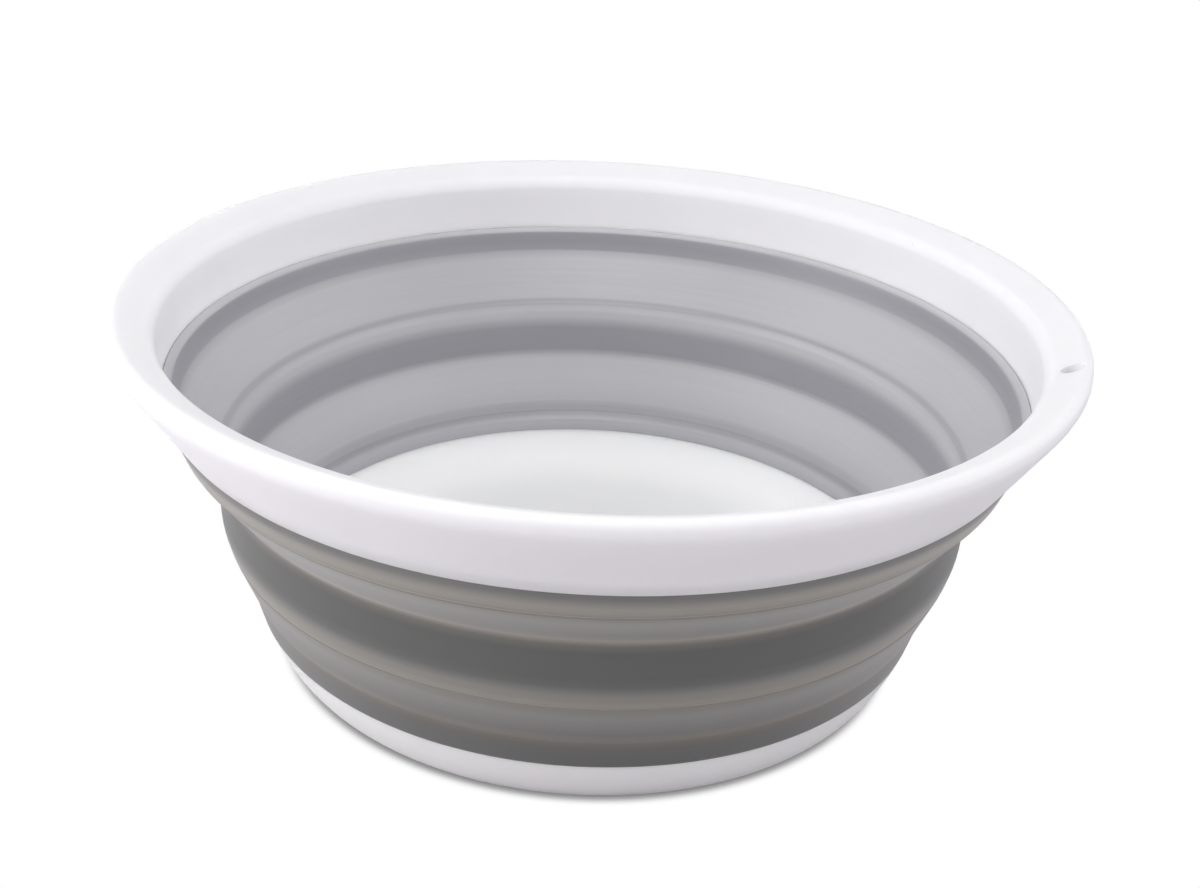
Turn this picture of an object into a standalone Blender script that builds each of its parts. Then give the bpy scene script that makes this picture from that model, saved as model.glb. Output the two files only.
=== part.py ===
"""A collapsible camp washbasin, in metres, +Z up, standing on Z = 0 with the Z axis at its centre.

Three mouldings make the real basin: a hard white rim, a soft grey wall that folds, and a hard
white base. The wall is turned here as five rings, divided on the levels of its moulded hinges,
so that each ring can move as the wall folds. Every ring is a section turned round the Z axis.

The sizes run down the outside of the basin, from the lip to the foot. A taper or a reach is how
far the outside comes in towards the axis over one stretch, and a height is how far it drops.
"""

import math

import bmesh
import bpy

# Fits and facets
BOND_GAP = 0.0003
WELD_DISTANCE = 0.000001
SEGMENTS = 72
ARC_STEP = math.radians(24)

# Lip, the rolled top edge of the rim
RIM_RADIUS = 0.185
LIP_HEIGHT = 0.0123
LIP_OVERHANG = 0.0072
LIP_TOP_ROUND = 0.0036
LIP_LOWER_ROUND = 0.002
LIP_DROP = 0.0092
LIP_STEPS = 5

# Skirt, the tapered outside of the rim, and the flare inside it
SKIRT_HEIGHT = 0.0234
SKIRT_TAPER = 0.0126
RIM_EDGE = 0.0012
RIM_LAP = 0.0053
FLARE_REACH = 0.0175
FLARE_DROP = 0.0675
FLARE_TURN = math.radians(41)
FLARE_STEPS = 6

# Hanging hole through the lip
HOLE_RADIUS = 0.0045
HOLE_INSET = 0.008
HOLE_AZIMUTH = math.radians(-16.5)
HOLE_SIDES = 24
HOLE_OVERRUN = 0.002

# Soft wall
WALL = 0.0025
FOLD_ROUND = 0.002

# Upper collar, bonded inside and under the rim
COLLAR_HEIGHT = 0.0118
COLLAR_TAPER = 0.0046
LEDGE_SLOPE = 0.0006
LEDGE_ROUND = 0.0006
UPPER_FOLD_RISE = 0.0084

# Upper web, which folds
UPPER_WEB_HEIGHT = 0.017
UPPER_WEB_REACH = 0.013
UPPER_GROOVE_RISE = 0.0039

# Middle ring, barrel-shaped outside and upright inside
RING_WAIST_DROP = 0.003
RING_WAIST_TAPER = 0.0004
RING_HEIGHT = 0.027
RING_TAPER = 0.0013
RING_SWELL = 0.0023
RING_SWELL_RISE = 0.009
RING_SWELL_ROUND = 0.03
RING_SHOULDER_DROP = 0.0054
RING_SHOULDER_ROUND = 0.012
LOWER_FOLD_RISE = 0.0047

# Lower web, which folds
LOWER_WEB_HEIGHT = 0.019
LOWER_WEB_REACH = 0.0075
LOWER_GROOVE_RISE = 0.0016

# Lower collar, bonded over a tongue on the base
LOWER_COLLAR_HEIGHT = 0.0128
LOWER_COLLAR_TAPER = 0.0035
GROOVE_DROP = 0.0036
GROOVE_TAPER = 0.0022
BEAD_DROP = 0.003
BEAD_REACH = 0.0017
BEAD_ROUND = 0.0012
TONGUE_HEIGHT = 0.0045
TONGUE_WALL = 0.0014

# Base
BASE_HEIGHT = 0.0212
BASE_TAPER = 0.0118
BASE_WALL = 0.0035
BASE_LAP = 0.0013
FOOT_WIDTH = 0.0065
FOOT_DEPTH = 0.0025
FOOT_ROUND = 0.0012
FLOOR_WALL = 0.003
FLOOR_REACH = 0.0238
BASE_CURVE_STEPS = 6
BASE_SIDE_SHARES = (0.53, 0.24)
FLOOR_SIDE_SHARES = (0.8, 0.0)

# Levels of the outside, up from the floor
COLLAR_LEVEL = BASE_HEIGHT
LOWER_WEB_LEVEL = COLLAR_LEVEL + LOWER_COLLAR_HEIGHT
RING_LEVEL = LOWER_WEB_LEVEL + LOWER_WEB_HEIGHT
UPPER_WEB_LEVEL = RING_LEVEL + RING_HEIGHT
UPPER_COLLAR_LEVEL = UPPER_WEB_LEVEL + UPPER_WEB_HEIGHT
SEAM_LEVEL = UPPER_COLLAR_LEVEL + COLLAR_HEIGHT
CREASE_LEVEL = SEAM_LEVEL + SKIRT_HEIGHT
RIM_LEVEL = CREASE_LEVEL + LIP_HEIGHT

# Radii of the outside at those levels, in from the lip
CREASE_RADIUS = RIM_RADIUS - LIP_OVERHANG
SEAM_RADIUS = CREASE_RADIUS - SKIRT_TAPER
UPPER_COLLAR_RADIUS = SEAM_RADIUS - COLLAR_TAPER
UPPER_WEB_RADIUS = UPPER_COLLAR_RADIUS - UPPER_WEB_REACH
RING_RADIUS = UPPER_WEB_RADIUS - RING_TAPER
LOWER_WEB_RADIUS = RING_RADIUS - LOWER_WEB_REACH
BASE_RADIUS = LOWER_WEB_RADIUS - LOWER_COLLAR_TAPER
FOOT_RADIUS = BASE_RADIUS - BASE_TAPER

# Corners of the section, each a radius and a level
SEAM = (SEAM_RADIUS, SEAM_LEVEL)
UPPER_EDGE = (UPPER_COLLAR_RADIUS, UPPER_COLLAR_LEVEL)
UPPER_FOOT = (UPPER_WEB_RADIUS, UPPER_WEB_LEVEL)
RING_EDGE = (RING_RADIUS, RING_LEVEL)
LOWER_FOOT = (LOWER_WEB_RADIUS, LOWER_WEB_LEVEL)
BASE_SEAM = (BASE_RADIUS, COLLAR_LEVEL)
INNER_SEAM = (SEAM_RADIUS, SEAM_LEVEL + RIM_LAP)
INNER_BASE_SEAM = (BASE_RADIUS - BASE_WALL, COLLAR_LEVEL + BASE_LAP)


def on_line(start, end, level):
    """The point of a line of the section at a level."""
    share = (level - start[1]) / (end[1] - start[1])
    return (start[0] + share * (end[0] - start[0]), level)


def inside_of(start, end, level):
    """The point at a level that lies one wall, measured square to a line, inside that line."""
    run = end[0] - start[0]
    rise = end[1] - start[1]
    outside = on_line(start, end, level)
    return (outside[0] - WALL * math.hypot(run, rise) / abs(rise), level)


# Corners of the inside of the soft wall
UPPER_FOLD_LEVEL = UPPER_COLLAR_LEVEL + UPPER_FOLD_RISE
UPPER_FOLD = (on_line(UPPER_EDGE, SEAM, UPPER_FOLD_LEVEL)[0] - WALL, UPPER_FOLD_LEVEL)
UPPER_GROOVE = inside_of(UPPER_FOOT, UPPER_EDGE, UPPER_WEB_LEVEL + UPPER_GROOVE_RISE)
WAIST = (UPPER_WEB_RADIUS - RING_WAIST_TAPER, UPPER_WEB_LEVEL - RING_WAIST_DROP)
RING_INSIDE = WAIST[0] - WALL
SHOULDER = (RING_INSIDE, UPPER_WEB_LEVEL - RING_SHOULDER_DROP)
LOWER_FOLD = (RING_INSIDE, RING_LEVEL + LOWER_FOLD_RISE)
LOWER_GROOVE = inside_of(LOWER_FOOT, RING_EDGE, LOWER_WEB_LEVEL + LOWER_GROOVE_RISE)
HOLLOW = (LOWER_GROOVE[0] - GROOVE_TAPER, LOWER_GROOVE[1] - GROOVE_DROP)
BEAD = (HOLLOW[0] - BEAD_REACH, HOLLOW[1] - BEAD_DROP)

# Levels of the hinges, halfway between the inside and the outside corner of each fold
UPPER_HINGE_TOP = (UPPER_COLLAR_LEVEL + UPPER_FOLD[1]) / 2
UPPER_HINGE_FOOT = (UPPER_WEB_LEVEL + UPPER_GROOVE[1]) / 2
LOWER_HINGE_TOP = (RING_LEVEL + LOWER_FOLD[1]) / 2
LOWER_HINGE_FOOT = (LOWER_WEB_LEVEL + LOWER_GROOVE[1]) / 2


def arc(centre, radii, start, end, steps):
    """Points along part of an ellipse, from one angle to another, both ends included."""
    turns = [start + (end - start) * step / steps for step in range(steps + 1)]
    return [
        (centre[0] + radii[0] * math.cos(turn), centre[1] + radii[1] * math.sin(turn))
        for turn in turns
    ]


def sweep(start, pull, end, steps):
    """Points along a smooth curve that leaves start towards pull and reaches end from it."""
    points = []
    for step in range(steps + 1):
        after = step / steps
        before = 1 - after
        points.append(tuple(
            before * before * start[axis] + 2 * before * after * pull[axis] + after * after * end[axis]
            for axis in (0, 1)
        ))
    return points


def rounded(before, corner, after, radius):
    """Points of a round of this radius at a corner, kept within half of each side."""
    sides = []
    for other in (before, after):
        reach = math.hypot(other[0] - corner[0], other[1] - corner[1])
        sides.append((reach, (other[0] - corner[0]) / reach, (other[1] - corner[1]) / reach))
    (reach_in, in_x, in_z), (reach_out, out_x, out_z) = sides
    opening = math.acos(max(-1, min(1, in_x * out_x + in_z * out_z)))
    cut = min(radius / math.tan(opening / 2), reach_in / 2, reach_out / 2)
    radius = cut * math.tan(opening / 2)
    reach = radius / math.sin(opening / 2)
    middle_x = in_x + out_x
    middle_z = in_z + out_z
    size = math.hypot(middle_x, middle_z)
    centre = (corner[0] + reach * middle_x / size, corner[1] + reach * middle_z / size)
    start = math.atan2(corner[1] + cut * in_z - centre[1], corner[0] + cut * in_x - centre[0])
    end = math.atan2(corner[1] + cut * out_z - centre[1], corner[0] + cut * out_x - centre[0])
    if end - start > math.pi:
        end -= 2 * math.pi
    if start - end > math.pi:
        end += 2 * math.pi
    steps = max(1, math.ceil(abs(end - start) / ARC_STEP))
    return arc(centre, (radius, radius), start, end, steps)


def eased(corners, rounds):
    """A closed outline in which each corner that rounds names by its place becomes an arc."""
    outline = []
    for place, corner in enumerate(corners):
        radius = rounds.get(place)
        if radius:
            after = corners[(place + 1) % len(corners)]
            outline += rounded(corners[place - 1], corner, after, radius)
        else:
            outline.append(corner)
    return outline


def plastic(name, colour, roughness):
    material = bpy.data.materials.new(name)
    material.use_nodes = True
    shader = material.node_tree.nodes["Principled BSDF"]
    shader.inputs["Base Color"].default_value = (*colour, 1)
    shader.inputs["Roughness"].default_value = roughness
    shader.inputs["Metallic"].default_value = 0
    return material


def white_plastic(name):
    return plastic(name, (0.86, 0.86, 0.88), 0.35)


def grey_rubber(name):
    return plastic(name, (0.30, 0.31, 0.32), 0.55)


def turned(name, outline, material, parent, closed=True):
    """An object whose section, clockwise as seen with the axis on its left, is spun round Z."""
    shape = bmesh.new()
    origin = parent.matrix_world.translation.z
    points = [shape.verts.new((radius, 0, level - origin)) for radius, level in outline]
    edges = [shape.edges.new(pair) for pair in zip(points, points[1:])]
    if closed:
        edges.append(shape.edges.new((points[-1], points[0])))
    bmesh.ops.spin(
        shape, geom=points + edges, cent=(0, 0, 0), axis=(0, 0, 1), angle=2 * math.pi,
        steps=SEGMENTS, use_merge=True,
    )
    bmesh.ops.remove_doubles(shape, verts=shape.verts, dist=WELD_DISTANCE)
    bmesh.ops.recalc_face_normals(shape, faces=shape.faces)
    mesh = bpy.data.meshes.new(name)
    shape.to_mesh(mesh)
    shape.free()
    mesh.shade_smooth()
    mesh.set_sharp_from_angle(angle=math.radians(30))
    mesh.materials.append(material)
    ring = bpy.data.objects.new(name, mesh)
    bpy.context.scene.collection.objects.link(ring)
    ring.parent = parent
    return ring


def slide(name, level, parent):
    """An empty on the Z axis that carries what moves together when the wall folds."""
    carrier = bpy.data.objects.new(name, None)
    bpy.context.scene.collection.objects.link(carrier)
    carrier.parent = parent
    below = parent.matrix_world.translation.z if parent else 0
    carrier.location.z = level - below
    bpy.context.view_layer.update()
    return carrier


def lip_outline():
    """From the ridge of the lip, over its outside and under it to the crease."""
    top = (RIM_RADIUS - LIP_TOP_ROUND, RIM_LEVEL - LIP_TOP_ROUND)
    points = arc(top, (LIP_TOP_ROUND, LIP_TOP_ROUND), math.pi / 2, 0, LIP_STEPS)
    corner = (RIM_RADIUS, RIM_LEVEL - LIP_DROP)
    crease = (CREASE_RADIUS, CREASE_LEVEL)
    return points + rounded(points[-1], corner, crease, LIP_LOWER_ROUND) + [crease]


def flare_outline():
    """Up the inside of the rim, from the inner seam to just short of the ridge."""
    ridge = RIM_RADIUS - LIP_TOP_ROUND
    centre = (ridge, RIM_LEVEL - FLARE_DROP)
    half_turn = math.pi / 2
    points = arc(
        centre, (FLARE_REACH, FLARE_DROP), half_turn + FLARE_TURN, half_turn, FLARE_STEPS
    )
    return [INNER_SEAM] + points[:-1]


def rim(parent):
    edge = (SEAM_RADIUS - RIM_EDGE, SEAM_LEVEL)
    outline = lip_outline() + [SEAM, edge] + flare_outline()
    ring = turned("rim", outline, white_plastic("rim_white"), parent)
    cutter = hanging_hole(parent)
    cut = ring.modifiers.new("Hanging hole", "BOOLEAN")
    cut.operation = "DIFFERENCE"
    cut.solver = "EXACT"
    cut.object = cutter
    return ring


def hanging_hole(parent):
    """The cutter of the round hole that goes straight down through the root of the lip."""
    shape = bmesh.new()
    depth = RIM_LEVEL - SEAM_LEVEL + 2 * HOLE_OVERRUN
    bmesh.ops.create_cone(
        shape, cap_ends=True, segments=HOLE_SIDES, radius1=HOLE_RADIUS, radius2=HOLE_RADIUS,
        depth=depth,
    )
    mesh = bpy.data.meshes.new("hanging_hole")
    shape.to_mesh(mesh)
    shape.free()
    cutter = bpy.data.objects.new("hanging_hole", mesh)
    bpy.context.scene.collection.objects.link(cutter)
    cutter.parent = parent
    reach = RIM_RADIUS - HOLE_INSET
    level = (RIM_LEVEL + SEAM_LEVEL) / 2 - parent.matrix_world.translation.z
    cutter.location = (reach * math.cos(HOLE_AZIMUTH), reach * math.sin(HOLE_AZIMUTH), level)
    cutter.display_type = "WIRE"
    cutter.hide_render = True
    return cutter


def upper_collar(parent):
    """The top of the soft wall: it laps the inside of the rim and shows below its skirt."""
    level = UPPER_HINGE_TOP + BOND_GAP / 2
    seam_level = SEAM_LEVEL - BOND_GAP
    corners = [
        (INNER_SEAM[0] - WALL, INNER_SEAM[1] - LEDGE_SLOPE),
        (INNER_SEAM[0] - BOND_GAP, INNER_SEAM[1]),
        (SEAM_RADIUS - RIM_EDGE - BOND_GAP, seam_level),
        on_line(UPPER_EDGE, SEAM, seam_level),
        on_line(UPPER_EDGE, SEAM, level),
        on_line(UPPER_GROOVE, UPPER_FOLD, level),
        UPPER_FOLD,
    ]
    outline = eased(corners, {0: LEDGE_ROUND, 6: FOLD_ROUND})
    return turned("upper_collar", outline, grey_rubber("upper_collar_grey"), parent)


def upper_web(parent):
    """The upper fold: a cone between the hinge under the collar and the one above the ring."""
    top = UPPER_HINGE_TOP - BOND_GAP / 2
    foot = UPPER_HINGE_FOOT + BOND_GAP / 2
    corners = [
        on_line(UPPER_EDGE, SEAM, top),
        UPPER_EDGE,
        on_line(UPPER_FOOT, UPPER_EDGE, foot),
        on_line(SHOULDER, UPPER_GROOVE, foot),
        UPPER_GROOVE,
        on_line(UPPER_GROOVE, UPPER_FOLD, top),
    ]
    outline = eased(corners, {1: FOLD_ROUND})
    return turned("upper_web", outline, grey_rubber("upper_web_grey"), parent)


def middle_ring(parent):
    """The stiff ring between the two folds."""
    top = UPPER_HINGE_FOOT - BOND_GAP / 2
    foot = LOWER_HINGE_TOP + BOND_GAP / 2
    swell = (RING_RADIUS + RING_SWELL, RING_LEVEL + RING_SWELL_RISE)
    corners = [
        on_line(UPPER_FOOT, UPPER_EDGE, top),
        UPPER_FOOT,
        WAIST,
        swell,
        on_line(RING_EDGE, swell, foot),
        on_line(LOWER_GROOVE, LOWER_FOLD, foot),
        LOWER_FOLD,
        SHOULDER,
        on_line(SHOULDER, UPPER_GROOVE, top),
    ]
    rounds = {1: FOLD_ROUND, 3: RING_SWELL_ROUND, 6: FOLD_ROUND, 7: RING_SHOULDER_ROUND}
    return turned("middle_ring", eased(corners, rounds), grey_rubber("middle_ring_grey"), parent)


def lower_web(parent):
    """The lower fold: a cone between the hinge under the ring and the one above the collar."""
    top = LOWER_HINGE_TOP - BOND_GAP / 2
    foot = LOWER_HINGE_FOOT + BOND_GAP / 2
    swell = (RING_RADIUS + RING_SWELL, RING_LEVEL + RING_SWELL_RISE)
    corners = [
        on_line(RING_EDGE, swell, top),
        RING_EDGE,
        on_line(LOWER_FOOT, RING_EDGE, foot),
        on_line(HOLLOW, LOWER_GROOVE, foot),
        LOWER_GROOVE,
        on_line(LOWER_GROOVE, LOWER_FOLD, top),
    ]
    outline = eased(corners, {1: FOLD_ROUND})
    return turned("lower_web", outline, grey_rubber("lower_web_grey"), parent)


def tongue(clearance):
    """The upright tongue of the base, grown by a clearance, from its outer foot to its inner."""
    low = (BASE_SEAM[1] + INNER_BASE_SEAM[1]) / 2
    high = low + TONGUE_HEIGHT
    inner_low = INNER_BASE_SEAM[0]
    inner_high = on_line(INNER_BASE_SEAM, BEAD, high)[0]
    outer_low = BASE_SEAM[0]
    outer_high = on_line(BASE_SEAM, LOWER_FOOT, high)[0]
    half = TONGUE_WALL / 2 + clearance
    middle_low = (inner_low + outer_low) / 2
    middle_high = (inner_high + outer_high) / 2
    outer_foot = (middle_low + half, low + clearance)
    outer_top = (middle_high + half, high + clearance)
    inner_top = (middle_high - half, high + clearance)
    inner_foot = (middle_low - half, low + clearance)
    return [outer_foot, outer_top, inner_top, inner_foot]


def lower_collar(parent):
    """The foot of the soft wall, with a bead inside, moulded over the tongue of the base."""
    level = LOWER_HINGE_FOOT - BOND_GAP / 2
    foot_level = COLLAR_LEVEL + BOND_GAP
    corners = [
        on_line(LOWER_FOOT, RING_EDGE, level),
        LOWER_FOOT,
        on_line(BASE_SEAM, LOWER_FOOT, foot_level),
        *tongue(BOND_GAP),
        (INNER_BASE_SEAM[0], INNER_BASE_SEAM[1] + BOND_GAP),
        BEAD,
        HOLLOW,
        on_line(HOLLOW, LOWER_GROOVE, level),
    ]
    outline = eased(corners, {1: FOLD_ROUND, 8: BEAD_ROUND, 9: BEAD_ROUND})
    return turned("lower_collar", outline, grey_rubber("lower_collar_grey"), parent)


def base(parent):
    """The white dish: a flat floor, a curved side, a tongue for the wall and a foot ring."""
    floor_level = FOOT_DEPTH + FLOOR_WALL
    floor_edge = (INNER_BASE_SEAM[0] - FLOOR_REACH, floor_level)
    floor_pull = (
        floor_edge[0] + FLOOR_SIDE_SHARES[0] * FLOOR_REACH,
        floor_level + FLOOR_SIDE_SHARES[1] * FLOOR_WALL,
    )
    foot = (FOOT_RADIUS, 0)
    side_pull = (
        FOOT_RADIUS + BASE_SIDE_SHARES[0] * BASE_TAPER,
        BASE_SIDE_SHARES[1] * BASE_HEIGHT,
    )
    foot_inside = (FOOT_RADIUS - FOOT_WIDTH, 0)
    recess = (foot_inside[0] - FOOT_DEPTH / 2, FOOT_DEPTH)
    centre = (0, FOOT_DEPTH)
    outline = [(0, floor_level)]
    outline += sweep(floor_edge, floor_pull, INNER_BASE_SEAM, BASE_CURVE_STEPS)
    outline += tongue(0)[::-1]
    outline += sweep(BASE_SEAM, side_pull, foot, BASE_CURVE_STEPS)
    outline += rounded(foot, foot_inside, recess, FOOT_ROUND)
    outline += rounded(foot_inside, recess, centre, FOOT_ROUND)
    outline.append(centre)
    return turned("base", outline, white_plastic("base_white"), parent, closed=False)


def main():
    for thing in list(bpy.data.objects):
        bpy.data.objects.remove(thing, do_unlink=True)
    standing = slide("standing", 0, None)
    base(standing)
    lower_collar(standing)
    ring_slide = slide("ring_slide", LOWER_HINGE_TOP, standing)
    lower_web(ring_slide)
    middle_ring(ring_slide)
    upper_web(ring_slide)
    rim_slide = slide("rim_slide", UPPER_HINGE_TOP, ring_slide)
    upper_collar(rim_slide)
    rim(rim_slide)


main()
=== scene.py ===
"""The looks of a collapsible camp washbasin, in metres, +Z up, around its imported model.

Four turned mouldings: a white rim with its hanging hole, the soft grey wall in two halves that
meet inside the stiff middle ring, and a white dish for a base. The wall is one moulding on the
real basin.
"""

import math

import bmesh
import bpy
from bpy.props import FloatProperty, FloatVectorProperty, IntProperty, PointerProperty
from bpy.types import Operator, Panel, PropertyGroup
from mathutils import Matrix, Vector


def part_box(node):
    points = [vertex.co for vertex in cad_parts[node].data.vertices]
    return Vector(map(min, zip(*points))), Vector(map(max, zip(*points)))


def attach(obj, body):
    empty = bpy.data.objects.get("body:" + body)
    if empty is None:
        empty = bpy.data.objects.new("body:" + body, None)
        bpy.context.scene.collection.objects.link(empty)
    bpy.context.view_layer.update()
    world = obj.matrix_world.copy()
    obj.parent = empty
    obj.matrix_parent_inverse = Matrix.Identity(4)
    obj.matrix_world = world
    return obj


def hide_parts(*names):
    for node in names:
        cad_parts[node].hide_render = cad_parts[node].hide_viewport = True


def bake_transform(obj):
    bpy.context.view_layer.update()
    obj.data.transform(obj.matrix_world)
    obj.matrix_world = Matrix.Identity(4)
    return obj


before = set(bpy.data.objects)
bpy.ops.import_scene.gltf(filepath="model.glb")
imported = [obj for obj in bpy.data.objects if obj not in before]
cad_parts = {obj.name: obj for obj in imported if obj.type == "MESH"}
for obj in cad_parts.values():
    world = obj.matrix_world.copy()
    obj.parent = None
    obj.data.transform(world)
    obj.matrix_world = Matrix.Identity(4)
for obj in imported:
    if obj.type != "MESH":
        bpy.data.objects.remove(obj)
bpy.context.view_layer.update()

bl_info = {
    "name": "Collapsible Washbasin",
    "version": (1, 0, 0),
    "blender": (4, 5, 0),
    "location": "View3D > Sidebar > Washbasin",
    "description": "Models and finishes a washbasin that folds flat",
    "category": "Object",
}

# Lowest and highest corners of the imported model's boxes
RIM_LOW, RIM_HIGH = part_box("rim")
BASE_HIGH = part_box("base")[1]
# How far the finished rim stays inside that model's box
RIM_MARGIN = 0.0005


def length(name, description, default):
    """A size that the panel shows in the scene's units."""
    return FloatProperty(
        name=name, description=description, default=default, precision=5, unit="LENGTH"
    )


def angle(name, description, degrees):
    """An angle that the panel shows in degrees."""
    return FloatProperty(
        name=name, description=description, default=math.radians(degrees), subtype="ANGLE"
    )


def share(name, description, default):
    """A value from nought to one."""
    return FloatProperty(
        name=name, description=description, default=default, min=0, max=1, subtype="FACTOR"
    )


def colour(name, description, default):
    """A colour, as red, green and blue."""
    return FloatVectorProperty(
        name=name, description=description, default=default, size=3, min=0, subtype="COLOR"
    )


class RimSizes(PropertyGroup):
    """The white rim, from its lip down to its seams with the wall."""

    radius: length("Radius", "Outside radius of the lip", RIM_HIGH.x - RIM_MARGIN)
    lip_top: length("Lip top", "Level of the ridge of the lip", RIM_HIGH.z - RIM_MARGIN)
    lip_round: length("Lip round", "Radius of the round along the ridge", 0.0034)
    lip_crown: length("Lip crown", "From the ridge down to where the lip is widest", 0.004)
    lip_drop: length("Lip drop", "From the ridge down to where the lip starts to draw in", 0.006)
    lip_height: length("Lip height", "From the ridge down to the crease under the lip", 0.0097)
    lip_overhang: length("Overhang", "How far the lip stands out from the crease", 0.0024)
    crease_round: length("Crease round", "Radius of the fillet under the lip", 0.0008)
    skirt_taper: length("Skirt taper", "How far the skirt draws in from crease to seam", 0.0163)
    edge: length("Edge", "Thickness of the skirt's lower edge", 0.0012)
    edge_round: length("Edge round", "Radius of the eased edges at the seams", 0.0002)
    brim_slope: angle("Brim slope", "How steeply the brim falls inwards from the ridge", 25.6)
    brim_round: length("Brim round", "Radius of the turn from the brim into the inside", 0.007)
    inside_radius: length("Inside radius", "Radius inside, just under the brim", 0.168)
    seam_radius: length("Seam radius", "Radius of the seam inside, above the wall", 0.167)
    seam_level: length("Seam level", "Level of the seam inside, above the wall", 0.1154)
    hole_radius: length("Hole radius", "Radius of the hanging hole", 0.0039)
    hole_inset: length("Hole inset", "From the outside of the lip in to the hole's axis", 0.0075)
    hole_azimuth: angle("Hole azimuth", "Where the hole is, round from +X", -16.0)


class WallSizes(PropertyGroup):
    """The soft wall, from the collar under the rim down to the base."""

    collar_radius: length("Collar radius", "Outside radius at the foot of the collar", 0.1618)
    collar_foot: length("Collar foot", "Level of the edge under the collar", 0.0979)
    collar_step: length("Collar step", "How far the wall is set back under the skirt", 0.0007)
    web_foot_radius: length("Web foot radius", "Outside radius where the web meets the ring", 0.1476)
    web_foot: length("Web foot", "Level where the upper web meets the ring", 0.08)
    waist_radius: length("Waist radius", "Outside radius at the ring's waist", 0.1472)
    waist: length("Waist", "Level of the ring's waist", 0.077)
    swell_radius: length("Swell radius", "Outside radius where the ring is fullest", 0.1486)
    swell: length("Swell", "Level where the ring is fullest", 0.062)
    ring_foot_radius: length("Ring foot radius", "Outside radius of the ring's lower edge", 0.1463)
    ring_foot: length("Ring foot", "Level of the ring's lower edge", 0.053)
    cuff_radius: length("Cuff radius", "Outside radius where the lower web ends", 0.1388)
    cuff: length("Cuff", "Level where the lower web ends", 0.034)
    middle: length("Middle", "Level where the two halves of the wall meet", 0.07)
    inside_radius: length("Inside radius", "Radius of the upright inside of the ring", 0.1447)
    groove_width: length("Groove width", "Width of the hinge grooves outside", 0.0016)
    groove_depth: length("Groove depth", "Depth of the hinge grooves outside", 0.00035)
    unevenness: length("Unevenness", "How far the soft wall strays from true", 0.00025)


class BaseSizes(PropertyGroup):
    """The white dish under the wall."""

    seam: length("Seam", "Level of the seam between the wall and the base", 0.0212)
    wall: length("Wall", "Width of the base's upper edge", 0.0035)
    inner_rise: length("Inner rise", "How much higher the seam lies inside", 0.0013)
    foot_radius: length("Foot radius", "Outside radius of the foot ring", 0.1235)
    foot_width: length("Foot width", "Width of the foot ring", 0.0065)
    foot_depth: length("Foot depth", "Depth of the hollow under the base", 0.0025)
    floor_wall: length("Floor wall", "Thickness of the floor", 0.003)
    floor_reach: length("Floor reach", "From the inner seam in to the flat floor", 0.0238)


class Finishes(PropertyGroup):
    """The colours and the gloss of the two plastics."""

    white: colour("White", "Colour of the rim's hard plastic", (0.842, 0.836, 0.859))
    # Paler than the rim's white, as painted light that brightens the base's floor
    base_white: colour("Base white", "Colour of the base's hard plastic", (0.93, 0.925, 0.948))
    white_roughness: share("White roughness", "Roughness of the hard plastic", 0.55)
    # The wall's greys hold painted light and shade: lit and shaded tones of one rubber, inside and
    # outside
    shade_inside: colour("Shade inside", "Colour inside, where thick", (0.330, 0.325, 0.356))
    light_inside: colour("Light inside", "Colour inside, where thin", (0.532, 0.530, 0.549))
    shade_outside: colour("Shade outside", "Colour outside, where thick", (0.0985, 0.1005, 0.097))
    light_outside: colour("Light outside", "Colour outside, where thin", (0.274, 0.271, 0.253))
    # Painted warm light along the outer hinges, and painted shade along the inner hinge lines
    hinge_light: colour("Hinge light", "Tint of the hinge lines outside", (1.07, 1.0, 0.9))
    hinge_shade: colour("Hinge shade", "Tint of the hinge lines inside", (0.78, 0.78, 0.78))
    grey_roughness: share("Grey roughness", "Roughness of the soft wall", 0.42)


class Turning(PropertyGroup):
    """How finely the sections are cut and spun."""

    steps: IntProperty(name="Steps", description="Faces round the basin", default=192, min=24)
    fold_step: length("Fold step", "Longest edge of a section where the wall folds", 0.0012)
    smooth: angle("Smooth angle", "Edges that turn by less than this are shaded smooth", 30)


def start_fresh():
    """Leaves edit mode and selects nothing."""
    if bpy.context.object and bpy.context.object.mode != "OBJECT":
        bpy.ops.object.mode_set(mode="OBJECT")
    bpy.ops.object.select_all(action="DESELECT")


def pick_points(piece, wanted):
    """Selects the points of a piece in edit mode whose place passes a test."""
    bpy.ops.mesh.select_mode(type="VERT")
    bpy.ops.mesh.select_all(action="DESELECT")
    shape = bmesh.from_edit_mesh(piece.data)
    for point in shape.verts:
        if wanted(point.co):
            point.select_set(True)
    shape.select_flush_mode()
    bmesh.update_edit_mesh(piece.data)


# How close two points of a section are when they count as one
SAME_PLACE = 1e-6


def trace(name, corners, closed=True):
    """A section in the XZ plane, extruded from one point to each of its corners in turn."""
    start_fresh()
    first = corners[0]
    bpy.ops.mesh.primitive_plane_add(size=0.001, location=(first[0], 0, first[1]))
    piece = bpy.context.object
    piece.name = name
    piece.data.name = name
    bpy.ops.object.transform_apply(location=True, rotation=True, scale=True)
    bpy.ops.object.mode_set(mode="EDIT")
    bpy.ops.mesh.select_mode(type="VERT")
    bpy.ops.mesh.select_all(action="SELECT")
    bpy.ops.mesh.merge(type="CENTER")
    for before, after in zip(corners, corners[1:]):
        step = (after[0] - before[0], 0, after[1] - before[1])
        bpy.ops.mesh.extrude_vertices_move(TRANSFORM_OT_translate={"value": step})
    if closed:
        ends = [Vector((corner[0], 0, corner[1])) for corner in (first, corners[-1])]
        pick_points(piece, lambda place: any((place - end).length < SAME_PLACE for end in ends))
        bpy.ops.mesh.edge_face_add()
    return piece


# The most of a side that a round may take, where the side's other end is rounded and where not
SHARED_SIDE = 0.49
OWN_SIDE = 0.98


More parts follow.
